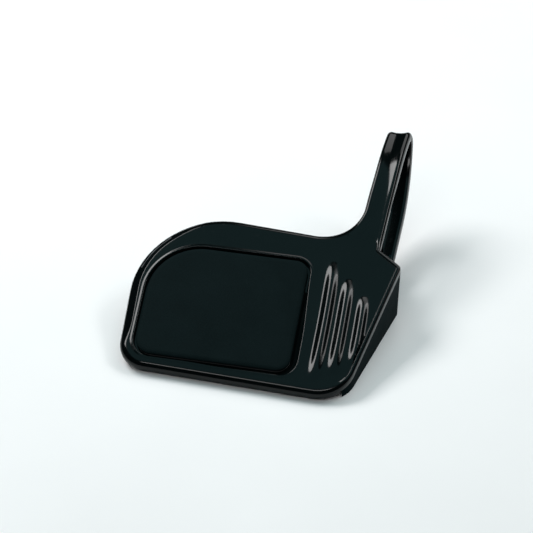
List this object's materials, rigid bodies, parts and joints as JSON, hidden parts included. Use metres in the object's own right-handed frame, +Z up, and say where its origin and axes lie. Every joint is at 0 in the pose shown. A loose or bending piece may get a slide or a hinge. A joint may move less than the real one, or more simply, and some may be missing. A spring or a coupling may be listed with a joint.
{
  "type": "kick paddle",
  "caption": "Martial arts kick paddle: padded blade with a raised strike pad, fluted flexing strip, looped hand guard and grip, and a flat heel that it stands on.",
  "frame": {"origin": "middle of the bounding box, on the ground plane under the flat heel and the blade's lower rim", "axes": "+Z up from the ground; +Y from the blade's lower rim up its face towards the end of the loop handle; +X from the blade's outer end towards the heel"},
  "size_m": [0.2714, 0.328, 0.1147],
  "materials": {
    "moulded_skin": "gloss",
    "pad_cover": "matt, fine grain",
    "foam": "matt",
    "board": "matt",
    "nylon": "satin",
    "spring_steel": "satin",
    "zinc_plated": "satin"
  },
  "bodies": {
    "grip": {"grip_front_skin": "moulded_skin", "rear_grip": "moulded_skin", "loop_core": "spring_steel", "heel_shell": "moulded_skin", "heel_block": "nylon", "foot_plate": "nylon", "flex_front_skin": "moulded_skin", "flex_back_skin": "moulded_skin", "spring_leaf": "spring_steel", "foot_screw_1": "zinc_plated", "foot_screw_2": "zinc_plated", "foot_screw_3": "zinc_plated", "foot_screw_4": "zinc_plated", "leaf_screw_1": "zinc_plated", "leaf_screw_2": "zinc_plated"},
    "blade": {"blade_front_skin": "moulded_skin", "strike_pad": "pad_cover", "pad_foam": "foam", "top_foam": "foam", "core_plate": "board", "back_foam": "foam", "blade_back_skin": "moulded_skin", "back_screw_1": "zinc_plated", "back_screw_2": "zinc_plated", "back_screw_3": "zinc_plated", "back_screw_4": "zinc_plated", "leaf_rivet_1": "zinc_plated", "leaf_rivet_2": "zinc_plated", "leaf_rivet_3": "zinc_plated", "leaf_rivet_4": "zinc_plated"}
  },
  "joints": [
    {"name": "blade_flex", "type": "hinge", "parent": "grip", "child": "blade", "pos_m": [0.07455, -0.08583, 0.02956], "axis": [-0.0034, 0.9457, 0.3249], "range_deg": [-20, 5], "stiffness_Nm_per_rad": 30, "deforming": ["flex_front_skin", "flex_back_skin", "spring_leaf"]}
  ]
}
